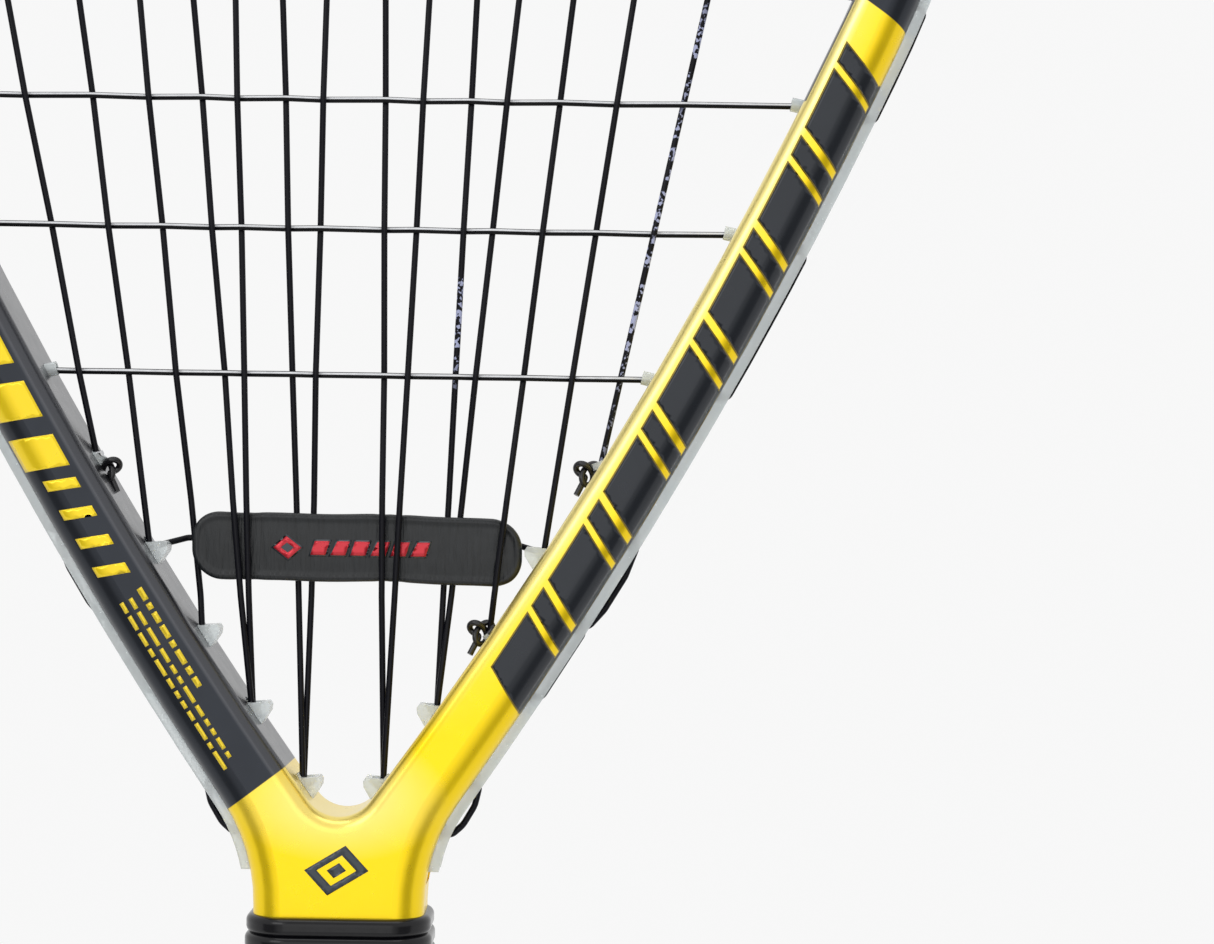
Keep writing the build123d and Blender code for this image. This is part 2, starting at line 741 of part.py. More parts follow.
staples = make_staples()
pallets = make_pallets(staples)
save("frame", make_frame())
save("grommet_strip_left", guard(strip_holes, (-1,), strip_proud, strip_tail_z, bumper_start_z - strip_gap))
save("grommet_strip_right", guard(strip_holes, (1,), strip_proud, strip_tail_z, bumper_start_z - strip_gap))
save("bumper_guard", guard(bumper_holes, (-1, 1), bumper_proud, bumper_start_z, above_all))
half_left = half_main_route(-1)
half_right = half_main_route(1)
save("main_string", swept_string(half_left + half_right[::-1]))
save("cross_string", swept_string(cross_route()))
for name, (index, side) in knots.items():
    save(name, make_knot(foot_holes[index], side))
save("dampener_bar", make_bar())
save("pallet_front", pallets[0])
save("pallet_back", pallets[1])
save("shaft_plug", make_plug())
save("butt_cap", make_butt_cap(staples))
save("butt_cap_staples", Compound(children=staples))
save("butt_badge", Pos(0, 0, badge_thickness / 2) * Cylinder(badge_radius, badge_thickness))
save("grip_wrap", make_wrap())
save("finishing_tape", make_tape())
save("grip_collar", make_collar())
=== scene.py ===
import math
import random

import bmesh
import bpy
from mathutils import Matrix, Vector
from mathutils.bvhtree import BVHTree
from mathutils.geometry import delaunay_2d_cdt


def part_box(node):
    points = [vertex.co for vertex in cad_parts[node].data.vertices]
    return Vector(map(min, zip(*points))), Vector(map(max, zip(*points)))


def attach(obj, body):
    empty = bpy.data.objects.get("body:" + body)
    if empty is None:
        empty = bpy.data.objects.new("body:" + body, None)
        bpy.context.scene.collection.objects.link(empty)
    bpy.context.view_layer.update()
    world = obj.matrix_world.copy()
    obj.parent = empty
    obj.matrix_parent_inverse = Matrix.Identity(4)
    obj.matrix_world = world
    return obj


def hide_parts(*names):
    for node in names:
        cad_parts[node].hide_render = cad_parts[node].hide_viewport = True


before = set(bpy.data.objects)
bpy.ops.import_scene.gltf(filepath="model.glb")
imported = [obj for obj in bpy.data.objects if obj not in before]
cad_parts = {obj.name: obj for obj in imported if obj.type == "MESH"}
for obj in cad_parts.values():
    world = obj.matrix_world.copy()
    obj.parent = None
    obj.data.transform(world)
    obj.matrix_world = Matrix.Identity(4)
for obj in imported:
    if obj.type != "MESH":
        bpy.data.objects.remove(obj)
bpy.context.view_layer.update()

random.seed(7)

# Everything is in metres, in the racket's own frame: +Z up the racket, front face toward -Y.
MM = 0.001

# The right arm's outer edge is one long arc, and the left arm mirrors it. Graphics on an arm
# are laid out in millimetres as (s, t): s along that edge from the arm's foot, t in from it.
FLARE_CENTRE = (-773.7, 747.9)
FLARE_RADIUS = 967.0
FLARE_FOOT = math.radians(-34.5)
INNER_CENTRE = (-726.1, 732.8)
INNER_RADIUS = 905.0

# The frame's paint. An edge is a point (x, z) of its line, then how steeply the line climbs.
LEFT_EDGE = ((-22.0, 198.8), 0.768)
RIGHT_OUTER_EDGE = ((101.2, 359.7), -0.706)
RIGHT_INNER_EDGE = ((96.4, 354.5), 2.14)
LEFT_PAINT_REACH = -2.0             # the left arm's charcoal stops at this x
POINT_FOOT = 340.0                  # the right arm's point starts above this z
RIM_WIDTH, RIM_FOOT, RIM_TOP = 0.62, 218.6, 343.5
HOOP_FOOT = 420.0                   # all charcoal above this z
INNER_BORDER = 2.4                  # width of the changed tone along the arms' inner edge: a painted highlight on the yellow, grey on the charcoal
PALE_FROM, PALE_OVER = 4.6, 6.0     # depth from the outer edge where the painted highlight starts to pale the yellow
PALE_FOOT, PALE_RISE = 214.0, 40.0  # height where it starts
GREY_FOOT = 200.0
# Painted highlight round the crotch: its height, its reach, and how flat it is across
CROTCH_Z, CROTCH_HIGHLIGHT, CROTCH_FLATNESS = 202.0, 13.0, 0.35

# Printed marks are thin films. Lifts are in millimetres above the surface.
FRONT, BACK = -1, 1
SIDES = (("", FRONT), ("_back", BACK))
EDGE_LIFT = 0.05
DECAL_LIFT = 0.08
BLOCK_LIFT = 0.11
BAR_EDGE_LIFT, BAR_MARK_LIFT = 0.03, 0.09
DECAL_STEP = 0.8
FILM = 0.03
BLOCK_BORDER = 0.28
BAR_MARK_BORDER = 0.3
RAY_START = 0.2

# Paint colours, linear
YELLOW = (1.0, 0.72, 0.003)
RICH_YELLOW = (0.99, 0.69, 0.002)
# Painted highlight: the pale band across the yellow arms
HIGHLIGHT_YELLOW = (1.0, 0.76, 0.11)
# Painted highlight along the arms' inner edge and round the crotch of the throat
EDGE_HIGHLIGHT_YELLOW = (1.0, 0.84, 0.30)
DEEP_YELLOW = (0.22, 0.15, 0.002)
CHARCOAL = (0.018, 0.021, 0.028)
LIGHT_CHARCOAL = (0.026, 0.031, 0.040)
GREY = (0.075, 0.078, 0.088)
RED = (0.62, 0.018, 0.035)
CHARCOAL_PRINT = (0.010, 0.014, 0.021)
FINE_YELLOW = (0.90, 0.66, 0.02)
SLATE = (0.035, 0.045, 0.055)
BLACK = (0.002, 0.002, 0.003)
STRING_BLACK = (0.003, 0.003, 0.005)


# ---- node materials -------------------------------------------------------------

class Field:
    """A shader value that can be used in sums, so that a mask reads like a formula."""

    def __init__(self, wiring, socket):
        self.wiring = wiring
        self.socket = socket

    def maths(self, operation, *others):
        """A Math node's result, with this value as its first input."""
        node = self.wiring.tree.nodes.new("ShaderNodeMath")
        node.operation = operation
        for socket, value in zip(node.inputs, (self, *others)):
            self.wiring.feed(socket, value)
        return Field(self.wiring, node.outputs[0])

    def __add__(self, other):
        return self.maths("ADD", other)

    def __sub__(self, other):
        return self.maths("SUBTRACT", other)

    def __mul__(self, other):
        return self.maths("MULTIPLY", other)

    def __truediv__(self, other):
        return self.maths("DIVIDE", other)

    def step(self, soft=0.12):
        """1 where the value is above zero, 0 where it is below, over a short soft edge."""
        node = self.wiring.tree.nodes.new("ShaderNodeMapRange")
        self.wiring.feed(node.inputs["Value"], self)
        node.inputs["From Min"].default_value = -soft
        node.inputs["From Max"].default_value = soft
        return Field(self.wiring, node.outputs[0])

    def over(self, limit, soft=0.12):
        """1 where the value is over the limit, 0 where it is under."""
        return (self - limit).step(soft)

    def under(self, limit, soft=0.12):
        """1 where the value is under the limit, 0 where it is over."""
        return (self * -1 + limit).step(soft)

    def between(self, low, high, soft=0.12):
        """1 between low and high, 0 outside."""
        return self.over(low, soft) * self.under(high, soft)

    def clamped(self):
        """The value held between 0 and 1."""
        return self.maths("MAXIMUM", 0.0).maths("MINIMUM", 1.0)

    def span(self, low, high):
        """The value's 0 to 1 range mapped to low to high."""
        return self * (high - low) + low


class Wiring:
    """A node tree that Fields can be fed into."""

    def __init__(self, tree):
        self.tree = tree

    def feed(self, socket, value):
        if isinstance(value, Field):
            self.tree.links.new(value.socket, socket)
        else:
            socket.default_value = value

    def parts(self, socket):
        """A vector's three parts as Fields."""
        split = self.tree.nodes.new("ShaderNodeSeparateXYZ")
        self.tree.links.new(socket, split.inputs[0])
        return [Field(self, part) for part in split.outputs]


class Paint(Wiring):
    """One Principled material with object coordinates in millimetres."""

    def __init__(self, name, colour, roughness, **sockets):
        self.material = bpy.data.materials.new(name)
        self.material.use_nodes = True
        self.material.diffuse_color = (*colour, 1.0)
        super().__init__(self.material.node_tree)
        self.shader = self.tree.nodes["Principled BSDF"]
        self.set("Base Color", (*colour, 1.0))
        self.set("Roughness", roughness)
        for label, value in sockets.items():
            self.set(label.replace("_", " "), value)
        coordinates = self.tree.nodes.new("ShaderNodeTexCoord")
        scale = self.tree.nodes.new("ShaderNodeVectorMath")
        scale.operation = "SCALE"
        scale.inputs["Scale"].default_value = 1 / MM
        self.tree.links.new(coordinates.outputs["Object"], scale.inputs[0])
        self.place = scale.outputs[0]
        self.x, self.y, self.z = self.parts(self.place)

    def set(self, label, value):
        self.shader.inputs[label].default_value = value

    def above(self, point, slope):
        """Positive above the line through point, as (x, z), that climbs by slope."""
        return self.z - point[1] - (self.x - point[0]) * slope

    def distance(self, centre):
        """Distance from an arc's centre, seen from the front, on either side of the racket."""
        across = self.x.maths("ABSOLUTE") - centre[0]
        along = self.z - centre[1]
        return (across * across + along * along).maths("SQRT")

    def noise(self, scale, detail=2.0, stretch=None):
        """Cloudy noise, with scale in cells per millimetre."""
        node = self.tree.nodes.new("ShaderNodeTexNoise")
        node.inputs["Scale"].default_value = scale
        node.inputs["Detail"].default_value = detail
        vector = self.place
        if stretch:
            squeeze = self.tree.nodes.new("ShaderNodeVectorMath")
            squeeze.operation = "MULTIPLY"
            squeeze.inputs[1].default_value = stretch
            self.tree.links.new(vector, squeeze.inputs[0])
            vector = squeeze.outputs[0]
        self.tree.links.new(vector, node.inputs["Vector"])
        return Field(self, node.outputs[0])

    def cells(self, scale):
        """Distance from the nearest of many scattered points."""
        node = self.tree.nodes.new("ShaderNodeTexVoronoi")
        node.inputs["Scale"].default_value = scale
        self.tree.links.new(self.place, node.inputs["Vector"])
        return Field(self, node.outputs["Distance"])

    def mix(self, factor, first, second):
        """The first colour where factor is 0, the second where it is 1."""
        node = self.tree.nodes.new("ShaderNodeMix")
        node.data_type = "RGBA"
        self.feed(node.inputs["Factor"], factor)
        for label, colour in (("A", first), ("B", second)):
            socket = [s for s in node.inputs if s.name == label and s.type == "RGBA"][0]
            if isinstance(colour, Field):
                self.tree.links.new(colour.socket, socket)
            else:
                socket.default_value = (*colour, 1.0)
        return Field(self, [s for s in node.outputs if s.type == "RGBA"][0])

    def use(self, label, value):
        self.tree.links.new(value.socket, self.shader.inputs[label])

    def bump(self, height, distance, strength=1.0):
        """Raises the surface by height, with distance in millimetres."""
        node = self.tree.nodes.new("ShaderNodeBump")
        node.inputs["Distance"].default_value = distance * MM
        node.inputs["Strength"].default_value = strength
        self.tree.links.new(height.socket, node.inputs["Height"])
        self.tree.links.new(node.outputs[0], self.shader.inputs["Normal"])


def lacquer(name, colour, tone=0.12):
    """Sprayed gloss paint: a little uneven in tone, with a fine orange peel under clear coat."""
    paint = Paint(name, colour, 0.3, Metallic=0.5, Coat_Weight=0.35, Coat_Roughness=0.08)
    cloud = paint.noise(0.09, 3.0)
    darker = tuple(channel * (1 - tone) for channel in colour)
    paint.use("Base Color", paint.mix(cloud, colour, darker))
    paint.use("Roughness", paint.noise(0.3, 2.0).span(0.24, 0.34))
    paint.bump(paint.noise(0.9, 1.0), 0.004, 0.3)
    return paint


def frame_paint():
    """The frame's two colours: yellow throat and right arm, charcoal left arm and hoop, with painted
    highlights on the yellow.
    """
    paint = Paint("frame_lacquer", YELLOW, 0.3, Metallic=0.8, Coat_Weight=0.25, Coat_Roughness=0.07)
    x, z = paint.x, paint.z
    from_inner = paint.distance(INNER_CENTRE)
    inner_border = INNER_RADIUS + INNER_BORDER
    depth = paint.distance(FLARE_CENTRE) * -1 + FLARE_RADIUS
    up_the_arm = ((z - PALE_FOOT) / PALE_RISE).clamped()
    # The left arm is charcoal above a slanted edge, and the right arm above a pointed one.
    left = x.under(LEFT_PAINT_REACH) * paint.above(*LEFT_EDGE).step()
    right_inner = paint.above(*RIGHT_INNER_EDGE).step() * z.over(POINT_FOOT)
    right = x.step() * paint.above(*RIGHT_OUTER_EDGE).step().maths("MAXIMUM", right_inner)
    # Charcoal also runs up the outer edge of the right arm, beside its blocks.
    rim = x.step() * depth.under(RIM_WIDTH) * z.between(RIM_FOOT, RIM_TOP)
    dark = z.over(HOOP_FOOT)
    for part in (left, right, rim):
        dark = dark.maths("MAXIMUM", part)
    # Painted highlights: yellow pales across the arm toward its inner edge and round the crotch of the
    # throat.
    pale = ((depth - PALE_FROM) / PALE_OVER).clamped()
    yellow = paint.mix(paint.noise(0.05, 2.0), YELLOW, RICH_YELLOW)
    yellow = paint.mix(pale * 0.75 * up_the_arm, yellow, HIGHLIGHT_YELLOW)
    # Painted highlight: a bright patch round the crotch of the throat.
    up = z - CROTCH_Z
    off_crotch = (x * x * CROTCH_FLATNESS + up * up).maths("SQRT") / CROTCH_HIGHLIGHT
    crotch_highlight = (off_crotch * -1 + 1.0).maths("MAXIMUM", 0.0)
    yellow = paint.mix(crotch_highlight, yellow, EDGE_HIGHLIGHT_YELLOW)
    # Painted highlight along the yellow arms' inner edge.
    yellow = paint.mix(from_inner.under(inner_border, 0.8) * up_the_arm, yellow, EDGE_HIGHLIGHT_YELLOW)
    # The charcoal's inner edge reads as grey.
    charcoal = paint.mix(paint.noise(0.12, 3.0), CHARCOAL, LIGHT_CHARCOAL)
    charcoal = paint.mix(from_inner.under(inner_border, 0.3) * z.over(GREY_FOOT, 0.5), charcoal, GREY)
    paint.use("Base Color", paint.mix(dark, yellow, charcoal))
    paint.use("Roughness", paint.noise(0.3, 2.0).span(0.24, 0.34))
    return paint.material


def clear_nylon(name):
    """Milky clear nylon, scuffed a little, with a faint blue-green cast where it is thick."""
    paint = Paint(name, (0.84, 0.88, 0.88), 0.2, Transmission_Weight=0.45, IOR=1.45)
    paint.set("Specular IOR Level", 0.6)
    cast = paint.noise(0.16, 3.0)
    paint.use("Base Color", paint.mix(cast, (0.97, 0.99, 0.99), (0.80, 0.88, 0.89)))
    paint.use("Roughness", paint.noise(0.9, 3.0).span(0.12, 0.34))
    paint.bump(paint.noise(0.8, 4.0), 0.03, 0.5)
    return paint.material


def bumper_nylon():
    """Black moulded nylon with a fine grain, rubbed pale along its crown."""
    paint = Paint("bumper_nylon", (0.02, 0.02, 0.022), 0.55, Specular_IOR_Level=0.4)
    scuff = paint.noise(0.35, 5.0).over(0.56, 0.05) * paint.z.over(500.0, 60.0)
    paint.use("Base Color", paint.mix(scuff * 0.5, (0.018, 0.018, 0.02), (0.12, 0.12, 0.125)))
    paint.use("Roughness", paint.noise(1.5, 3.0).span(0.42, 0.68))
    paint.bump(paint.noise(2.5, 3.0), 0.05, 0.6)
    return paint.material


# Fine print on two mains: x at the datum height, lean, and the heights it runs between
PRINT_DATUM = 310.0
PRINTED = ((59.4, 0.212, 262.0, 360.0), (22.1, 0.042, 240.0, 305.0))


def string_material(name, base, gloss=0.15, printed=()):
    """Smooth black string, with fine pale print along the mains listed in printed."""
    paint = Paint(name, base, 0.3, Specular_IOR_Level=gloss)
    colour = paint.mix(paint.noise(0.8, 3.0), base, tuple(2.0 * c for c in base))
    if printed:
        marks = None
        for foot_x, lean, low, high in printed:
            off_line = (paint.x - (paint.z - PRINT_DATUM) * lean - foot_x).maths("ABSOLUTE")
            mark = off_line.under(1.1, 0.2) * paint.z.between(low, high, 0.5)
            marks = mark if marks is None else marks.maths("MAXIMUM", mark)
        runs = paint.noise(0.24, 0.0, (0.01, 0.01, 1.0)).over(0.40, 0.02)
        ticks = paint.noise(2.0, 1.0, (0.6, 0.6, 0.6)).over(0.55, 0.03)
        front = paint.y.under(0.2, 0.3)
        colour = paint.mix(marks * runs * ticks * front, colour, (0.40, 0.43, 0.62))
    paint.use("Base Color", colour)
    paint.use("Roughness", paint.noise(1.3, 2.0).span(0.22, 0.36))
    paint.bump(paint.noise(1.6, 3.0), 0.01, 0.4)
    return paint.material


def cross_material():
    """The crosses: the same string, with a painted highlight on its upper side."""
    paint = Paint("cross_string_painted_highlight", (0.01, 0.01, 0.012), 0.2, Specular_IOR_Level=0.15)
    normal = paint.tree.nodes.new("ShaderNodeNewGeometry")
    up = paint.parts(normal.outputs["Normal"])[2]
    # Painted highlight: faces turned partly upward are silver grey, while the very top and the underside
    # stay black.
    top_highlight = up.between(0.10, 0.72, 0.08)
    highlight_silver = paint.mix(paint.noise(0.5, 2.0), (0.55, 0.56, 0.58), (0.85, 0.86, 0.88))
    paint.use("Base Color", paint.mix(top_highlight, (0.002, 0.002, 0.003), highlight_silver))
    paint.use("Roughness", paint.noise(1.3, 2.0).span(0.2, 0.34))
    paint.bump(paint.noise(1.6, 3.0), 0.02, 0.4)
    return paint.material


def gloss_rubber(name, colour, roughness, grain):
    """Moulded rubber: almost black, with a skin that is glossier on its worn ridges."""
    paint = Paint(name, colour, roughness, Specular_IOR_Level=0.35)
    lighter = tuple(2.0 * channel + 0.002 for channel in colour)
    paint.use("Base Color", paint.mix(paint.noise(0.3, 4.0) * 0.6, colour, lighter))
    paint.use("Roughness", paint.noise(0.8, 4.0).span(roughness * 0.7, roughness * 1.5))
    paint.bump(paint.noise(grain, 3.0), 0.03, 0.6)
    return paint.material


def bar_rubber():
    """Soft dampener rubber: nearly black, with fine pull lines up and down it."""
    paint = Paint("bar_rubber", (0.008, 0.010, 0.012), 0.4, Specular_IOR_Level=0.45)
    lines = paint.noise(1.6, 3.0, (1.0, 0.1, 0.12))
    paint.use("Base Color", paint.mix(lines, (0.001, 0.0015, 0.002), (0.014, 0.017, 0.020)))
    paint.use("Roughness", paint.noise(0.4, 3.0).span(0.26, 0.5))
    paint.bump(lines, 0.16, 0.9)
    return paint.material


def wound_grip():
    """Tacky synthetic grip: pebbled, and pierced with small holes in rows."""
    paint = Paint("wound_grip", (0.017, 0.017, 0.019), 0.6, Specular_IOR_Level=0.35)
    paint.set("Sheen Weight", 0.12)
    paint.use("Base Color", paint.mix(paint.noise(0.18, 4.0), (0.010, 0.010, 0.011), (0.034, 0.034, 0.037)))
    holes = paint.cells(0.33).under(0.16, 0.05)
    pebble = paint.noise(1.8, 3.0)
    paint.bump(pebble * 0.35 - holes, 0.25, 0.7)
    paint.use("Roughness", pebble.span(0.5, 0.75))
    return paint.material


def plain_plastic(name, colour, roughness, grain=1.6):
    """Moulded plastic with a fine spark-eroded grain and a slight change of tone."""
    paint = Paint(name, colour, roughness, Specular_IOR_Level=0.45)
    paint.use("Base Color", paint.mix(paint.noise(0.15, 4.0), colour, tuple(1.6 * c for c in colour)))
    paint.use("Roughness", paint.noise(0.9, 3.0).span(roughness * 0.8, roughness * 1.25))
    paint.bump(paint.noise(grain, 3.0), 0.04, 0.5)
    return paint.material


def steel():
    """Bright drawn staple wire with fine lengthwise scratches."""
    paint = Paint("staple_steel", (0.62, 0.62, 0.64), 0.25, Metallic=1.0)
    scratch = paint.noise(3.0, 3.0, (0.2, 2.0, 2.0))
    paint.use("Base Color", paint.mix(scratch, (0.5, 0.5, 0.52), (0.75, 0.75, 0.76)))
    paint.use("Roughness", scratch.span(0.16, 0.36))
    paint.bump(scratch, 0.01, 0.4)
    return paint.material


def pallet_foam():
    """The light plastic pallets under the grip, with the skin of moulded foam."""
    paint = Paint("pallet_foam", (0.30, 0.29, 0.27), 0.7)
    paint.use("Base Color", paint.mix(paint.noise(0.5, 5.0), (0.24, 0.23, 0.21), (0.38, 0.37, 0.34)))
    paint.bump(paint.cells(1.2), 0.1, 0.6)
    return paint.material


def dress(node_name, material):
    """Gives a CAD node its material."""
    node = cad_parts[node_name]
    if not node.material_slots:
        node.data.materials.append(material)
    for material_slot in node.material_slots:
        material_slot.link = "OBJECT"
        material_slot.material = material


# ---- mesh helpers ---------------------------------------------------------------

def new_piece(name, data, material):
    """An object for a finished mesh or curve, which rides on the racket."""
    piece = bpy.data.objects.new(name, data)
    bpy.context.scene.collection.objects.link(piece)
    data.materials.append(material)
    if piece.type == "MESH":
        for face in data.polygons:
            face.use_smooth = True
    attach(piece, "root")
    return piece


def outward(name, mesh):
    """The finished mesh of a closed bmesh, with its faces turned outward."""
    bmesh.ops.recalc_face_normals(mesh, faces=mesh.faces)
    data = bpy.data.meshes.new(name)
    mesh.to_mesh(data)
    mesh.free()
    return data


def surface_of_mesh(mesh):
    """A ray-casting tree of a mesh."""
    mesh.calc_loop_triangles()
    corners = [vertex.co.copy() for vertex in mesh.vertices]
    return BVHTree.FromPolygons(corners, [tuple(t.vertices) for t in mesh.loop_triangles])


def divided(loop, step):
    """A closed outline with extra points, so that no edge is longer than step."""
    points = []
    for start, end in zip(loop, loop[1:] + loop[:1]):
        count = max(1, math.ceil(math.dist(start, end) / step))
        for i in range(count):
            part = i / count
            points.append((start[0] + (end[0] - start[0]) * part, start[1] + (end[1] - start[1]) * part))
    return points


def within(point, loop):
    """True where the point is inside the closed outline."""
    inside = False
    for (ax, ay), (bx, by) in zip(loop, loop[1:] + loop[:1]):
        if (ay > point[1]) != (by > point[1]):
            if point[0] < (bx - ax) * (point[1] - ay) / (by - ay) + ax:
                inside = not inside
    return inside


def transfer(name, shapes, place, surface, material, lift=DECAL_LIFT, face=FRONT):
    """Thin printed shapes laid on the front or back of a surface. Each shape is an outline and
    its holes, in flat millimetres, and place(a, b) turns a flat point into the racket's x and z."""
    vertices, faces = [], []
    for outline, *holes in shapes:
        loops = [divided(loop, DECAL_STEP) for loop in (outline, *holes)]
        points = [point for loop in loops for point in loop]
        edges = []
        for loop in loops:
            first = len(edges)
            edges += [(first + i, first + (i + 1) % len(loop)) for i in range(len(loop))]
        low_a, high_a = min(p[0] for p in outline), max(p[0] for p in outline)
        low_b, high_b = min(p[1] for p in outline), max(p[1] for p in outline)
        for i in range(1, math.ceil((high_a - low_a) / DECAL_STEP)):
            for j in range(1, math.ceil((high_b - low_b) / DECAL_STEP)):
                grid = (low_a + i * DECAL_STEP, low_b + j * DECAL_STEP)
                clear = min(math.dist(grid, p) for p in points[:len(edges)]) > 0.45 * DECAL_STEP
                if clear and within(grid, outline) and not any(within(grid, h) for h in holes):
                    points.append(grid)
        flat = [Vector(point) for point in points]
        out_points, _, out_faces, *_ = delaunay_2d_cdt(flat, edges, [], 0, 1e-5)
        base = len(vertices)
        lifted = []
        for a, b in out_points:
            x, z = place(a, b)
            start = Vector((x * MM, RAY_START * face, z * MM))
            hit, normal, _, _ = surface.ray_cast(start, Vector((0, -face, 0)))
            if hit is None:
                raise ValueError(f"{name}: nothing under ({x:.1f}, {z:.1f})")
            lifted.append(hit + normal * lift * MM)
        vertices += lifted
        for triangle in out_faces:
            centre = tuple(sum(out_points[i][k] for i in triangle) / len(triangle) for k in (0, 1))
            if within(centre, outline) and not any(within(centre, hole) for hole in holes):
                faces.append([base + i for i in triangle])
    mesh = bpy.data.meshes.new(name)
    mesh.from_pydata(vertices, [], faces)
    facing = bmesh.new()
    facing.from_mesh(mesh)
    bmesh.ops.recalc_face_normals(facing, faces=facing.faces)
    if sum(part.normal.y * part.calc_area() for part in facing.faces) * face < 0:
        bmesh.ops.reverse_faces(facing, faces=facing.faces)
    facing.to_mesh(mesh)
    facing.free()
    film = new_piece(name, mesh, material).modifiers.new("film", "SOLIDIFY")
    film.thickness = FILM * MM
    film.offset = 1.0


def on_arm(side):
    """Places (s, t) of one arm: side is 1 for the right arm and -1 for the left."""
    def place(s, t):
        angle = FLARE_FOOT + s / FLARE_RADIUS
        radius = FLARE_RADIUS - t
        x = FLARE_CENTRE[0] + radius * math.cos(angle)
        return side * x, FLARE_CENTRE[1] + radius * math.sin(angle)
    return place


def grown(loop, amount):
    """The outline pushed outward by amount, corner by corner."""
    area = sum(ax * by - bx * ay for (ax, ay), (bx, by) in zip(loop, loop[1:] + loop[:1]))
    turn = 1 if area > 0 else -1
    result = []
    for before, here, after in zip(loop[-1:] + loop[:-1], loop, loop[1:] + loop[:1]):
        first = Vector((here[0] - before[0], here[1] - before[1])).normalized()
        second = Vector((after[0] - here[0], after[1] - here[1])).normalized()
        out_first = Vector((first.y, -first.x)) * turn
        out_second = Vector((second.y, -second.x)) * turn
        corner = (out_first + out_second).normalized()
        reach = amount / max(0.35, corner.dot(out_first))
        result.append((here[0] + corner.x * reach, here[1] + corner.y * reach))
    return result


# ---- arm graphics ---------------------------------------------------------------

BLOCK_OUTER, BLOCK_INNER, BLOCK_LEAN = 0.45, 9.9, 4.725
BLOCK_FOOT, BLOCK_PAIRS = 22.225, 7
BLOCK_RUNS = ((12.6, 1.9), (3.9, 2.2))      # length and the gap after it, in turn
ARM_BARS = ((129.0, 139.0), (113.0, 123.0), (98.5, 107.5), (86.5, 94.5), (75.5, 82.5))
ARM_BAR_OUTER, ARM_BAR_INNER, ARM_BAR_LEAN = 1.0, 9.8, -3.2
TILE_FOOT, TILE_PITCH, TILE_COUNT, TILE_LENGTH = 50.3, 6.5, 4, 2.3
TILE_OUTER, TILE_INNER, TILE_LEAN = 3.4, 9.6, -2.4
# Each row of dashes: where it starts and ends, how far in it lies, and its height
DASH_ROWS = ((21.5, 44.5, 9.4, 1.15), (6.5, 44.5, 6.9, 0.85), (5.0, 44.0, 4.9, 0.85))
DASH_SHORTEST, DASH_LONGEST, DASH_GAP = 1.2, 4.2, 0.75
EMBLEM_MIDDLE, EMBLEM_LEAN = (0.0, 187.6), 0.35
BAR_MIDDLE_Z = 250.4
BAR_LOZENGE_X = -11.8
BAR_MARK_LEFT, BAR_MARK_PITCH, BAR_MARK_COUNT = -7.2, 4.0, 6
BAR_MARK_LENGTH, BAR_MARK_HALF, BAR_MARK_LEAN, BAR_MARK_CUT = 3.0, 1.4, 0.84, 0.5


def slanted(low, high, near, far, lean):
    """A bar from low to high along the first axis and near to far across it, leaning by lean."""
    return [(low, near), (high, near), (high + lean, far), (low + lean, far)]


def lozenge(middle, width, height, lean):
    """Corners of a lozenge, by its half sizes and how far its top leans to the right."""
    x, z = middle
    return [(x - width, z), (x - lean, z - height), (x + width, z), (x + lean, z + height)]


def right_blocks():
    """Slanted charcoal blocks up the right arm: a long one and a short one in turn."""
    blocks = []
    low = BLOCK_FOOT
    for length, gap in BLOCK_RUNS * BLOCK_PAIRS:
        blocks.append((slanted(low, low + length, BLOCK_OUTER, BLOCK_INNER, BLOCK_LEAN),))
        low += length + gap
    return blocks


def left_bars():
    """Broad yellow slanted bars on the upper left arm."""
    return [(slanted(low, high, ARM_BAR_OUTER, ARM_BAR_INNER, ARM_BAR_LEAN),) for low, high in ARM_BARS]


def left_tiles():
    """Four small tiles below the bars, leaning like the bars."""
    feet = [TILE_FOOT + i * TILE_PITCH for i in range(TILE_COUNT)]
    return [(slanted(low, low + TILE_LENGTH, TILE_OUTER, TILE_INNER, TILE_LEAN),) for low in feet]


def left_rules():
    """Three rows of short fine dashes along the lower left arm, like care marks."""
    rules = []
    for low, end, middle, height in DASH_ROWS:
        near, far = middle - height / 2, middle + height / 2
        while low < end - 1.0:
            high = min(low + random.uniform(DASH_SHORTEST, DASH_LONGEST), end)
            rules.append((slanted(low, high, near, far, 0.0),))
            low = high + DASH_GAP
    return rules


def racket_plane(x, z):
    """Places marks that are laid out in the racket's own x and z."""
    return x, z


def emblem():
    """A plain slanted lozenge ring with a lozenge in it, on the throat."""
    outer, hole, core = (lozenge(EMBLEM_MIDDLE, width, height, EMBLEM_LEAN * height)
                         for width, height in ((6.3, 4.9), (3.9, 3.0), (1.9, 1.5)))
    return [(outer, hole), (core,)]


def bar_marks():
    """Red slanted marks on the dampener bar: a lozenge ring, then a row of bars, every second one
    cut slantwise at its top left corner."""
    middle = (BAR_LOZENGE_X, BAR_MIDDLE_Z)
    marks = [(lozenge(middle, 2.8, 2.3, -0.2), lozenge(middle, 1.3, 1.0, -0.1))]
    low, high = BAR_MIDDLE_Z - BAR_MARK_HALF, BAR_MIDDLE_Z + BAR_MARK_HALF
    for i in range(BAR_MARK_COUNT):
        left = BAR_MARK_LEFT + i * BAR_MARK_PITCH
        mark = slanted(left, left + BAR_MARK_LENGTH, low, high, BAR_MARK_LEAN)
        mark[3] = (mark[3][0] + BAR_MARK_CUT * (i % 2), high)
        marks.append((mark,))
    return marks


# ---- grip -----------------------------------------------------------------------

OCTAGON_BEVEL = 7.0 * MM
GRIP_PITCH = 17.0 * MM
GRIP_LAP = 1.15 * MM
GRIP_SKIN = 0.35 * MM       # how far the wrap stays inside its CAD box
LIP_RISE = 0.06             # part of a turn over which the lap climbs
AROUND, ROWS = 96, 260
END_ROWS = 3


